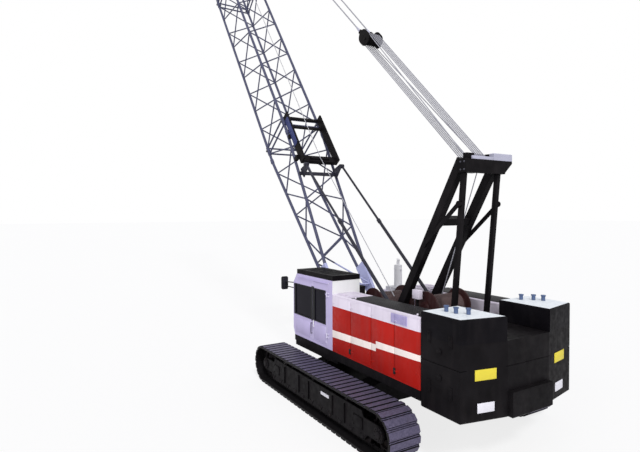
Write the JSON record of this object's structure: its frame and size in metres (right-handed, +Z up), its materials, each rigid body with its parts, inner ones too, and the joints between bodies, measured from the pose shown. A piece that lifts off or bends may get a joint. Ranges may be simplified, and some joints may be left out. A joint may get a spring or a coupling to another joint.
{
  "type": "crawler crane",
  "caption": "Lattice-boom crawler crane on two steel tracks, with cab, gantry, counterweight, boom suspension and hook block; slews and luffs.",
  "frame": {"origin": "on the ground under the slewing centre, midway between the tracks", "axes": "+X forwards along the boom, +Y to the operator's left, +Z up"},
  "size_m": [28.4192, 4.98, 31.9402],
  "materials": {
    "track_steel": "worn bare steel shoes",
    "black_paint": "semi-gloss black paint",
    "guard_paint": "pale grey-blue paint",
    "ring_steel": "machined bearing steel",
    "white_paint": "gloss light grey paint",
    "engine_paint": "dull grey paint",
    "silencer_metal": "aluminised sheet",
    "counterweight_paint": "black painted castings",
    "winch_paint": "dark red paint, greasy rope",
    "glass": "tinted cab glass",
    "seat_cloth": "black seat cover",
    "console_plastic": "dark grey plastic",
    "mirror_plastic": "black plastic housing",
    "boom_paint": "blue-grey paint",
    "backstop_paint": "dark blue-grey paint",
    "rod_paint": "dark blue-grey paint",
    "sheave_steel": "worn sheave steel",
    "rope_steel": "galvanised wire rope",
    "spreader_paint": "black paint",
    "hook_paint": "yellow paint",
    "hook_steel": "forged steel"
  },
  "bodies": {
    "undercarriage": {"carbody": "black_paint", "slewing_ring": "ring_steel", "track_frame_left": "black_paint", "track_frame_right": "black_paint", "track_left": "track_steel", "track_right": "track_steel", "rollers_left": "black_paint", "rollers_right": "black_paint", "idler_left": "black_paint", "idler_right": "black_paint", "sprocket_left": "black_paint", "sprocket_right": "black_paint"},
    "upper": {"revolving_frame": "black_paint", "house_left": "white_paint", "house_right": "white_paint", "engine": "engine_paint", "exhaust_silencer": "silencer_metal", "counterweight_tray": "counterweight_paint", "counterweight_slabs": "counterweight_paint", "counterweight_blocks": "counterweight_paint", "hoist_winches": "winch_paint", "luffing_winch": "winch_paint", "cab_shell": "white_paint", "cab_glass": "glass", "cab_seat": "seat_cloth", "cab_console": "console_plastic", "cab_roof_guard": "black_paint", "cab_mirror": "mirror_plastic", "gantry_front": "black_paint", "gantry_rear": "black_paint", "gantry_rope_guard": "guard_paint", "gantry_sheaves": "sheave_steel"},
    "luffing_falls": {"luffing_ropes_lower": "rope_steel"},
    "cab_door": {"cab_door": "white_paint", "cab_door_glass": "glass"},
    "boom": {"boom_base": "boom_paint", "boom_lower_insert": "boom_paint", "boom_upper_insert": "boom_paint", "boom_top": "boom_paint", "boom_sheaves": "sheave_steel", "boom_guide_frame": "black_paint", "backstop_brackets": "backstop_paint", "luffing_ropes_upper": "rope_steel", "spreader": "spreader_paint", "pendants": "rope_steel"},
    "backstop_tubes": {"backstop_tubes": "backstop_paint"},
    "backstop_rods": {"backstop_rods": "rod_paint"},
    "hook_block": {"hoist_ropes": "rope_steel", "hook_block": "hook_paint"},
    "hook": {"hook": "hook_steel"}
  },
  "joints": [
    {"name": "slew", "type": "hinge", "parent": "undercarriage", "child": "upper", "pos_m": [0, 0, 1.115], "axis": [0, 0, 1], "continuous": true},
    {"name": "boom_luff", "type": "hinge", "parent": "upper", "child": "boom", "pos_m": [1.26, 0, 1.942], "axis": [0, -1, 0], "range_deg": [-23.7, 26.3]},
    {"name": "luffing_fall_swing", "type": "hinge", "parent": "upper", "child": "luffing_falls", "pos_m": [-2.96, 0, 5.975], "axis": [0, -1, 0], "range_deg": [-23.7, 26.3]},
    {"name": "backstop_swing", "type": "hinge", "parent": "upper", "child": "backstop_tubes", "pos_m": [-1.15, 0, 2.47], "axis": [0, -1, 0], "range_deg": [-18.5, 20.5]},
    {"name": "backstop_slide", "type": "slide", "parent": "backstop_tubes", "child": "backstop_rods", "axis": [0.7435, 0, 0.6687], "range_m": [-0.92, 0.83]},
    {"name": "hook_hang", "type": "hinge", "parent": "boom", "child": "hook_block", "pos_m": [23.66416, 0, 31.3943], "axis": [0, -1, 0], "range_deg": [-26.4, 23.8]},
    {"name": "hook_swivel", "type": "hinge", "parent": "hook_block", "child": "hook", "pos_m": [23.66416, 0, 26.9943], "axis": [0, 0, 1], "continuous": true},
    {"name": "cab_door_hinge", "type": "hinge", "parent": "upper", "child": "cab_door", "pos_m": [0.42, 1.666, 2.25], "axis": [0, 0, 1], "range_deg": [0, 100]}
  ],
  "couplings": [
    {"joint": "luffing_fall_swing", "follows": "boom_luff", "ratio": 1},
    {"joint": "backstop_swing", "follows": "boom_luff", "ratio": 0.765},
    {"joint": "backstop_slide", "follows": "boom_luff", "m_per_rad": -1.982},
    {"joint": "hook_hang", "follows": "boom_luff", "ratio": -1}
  ]
}
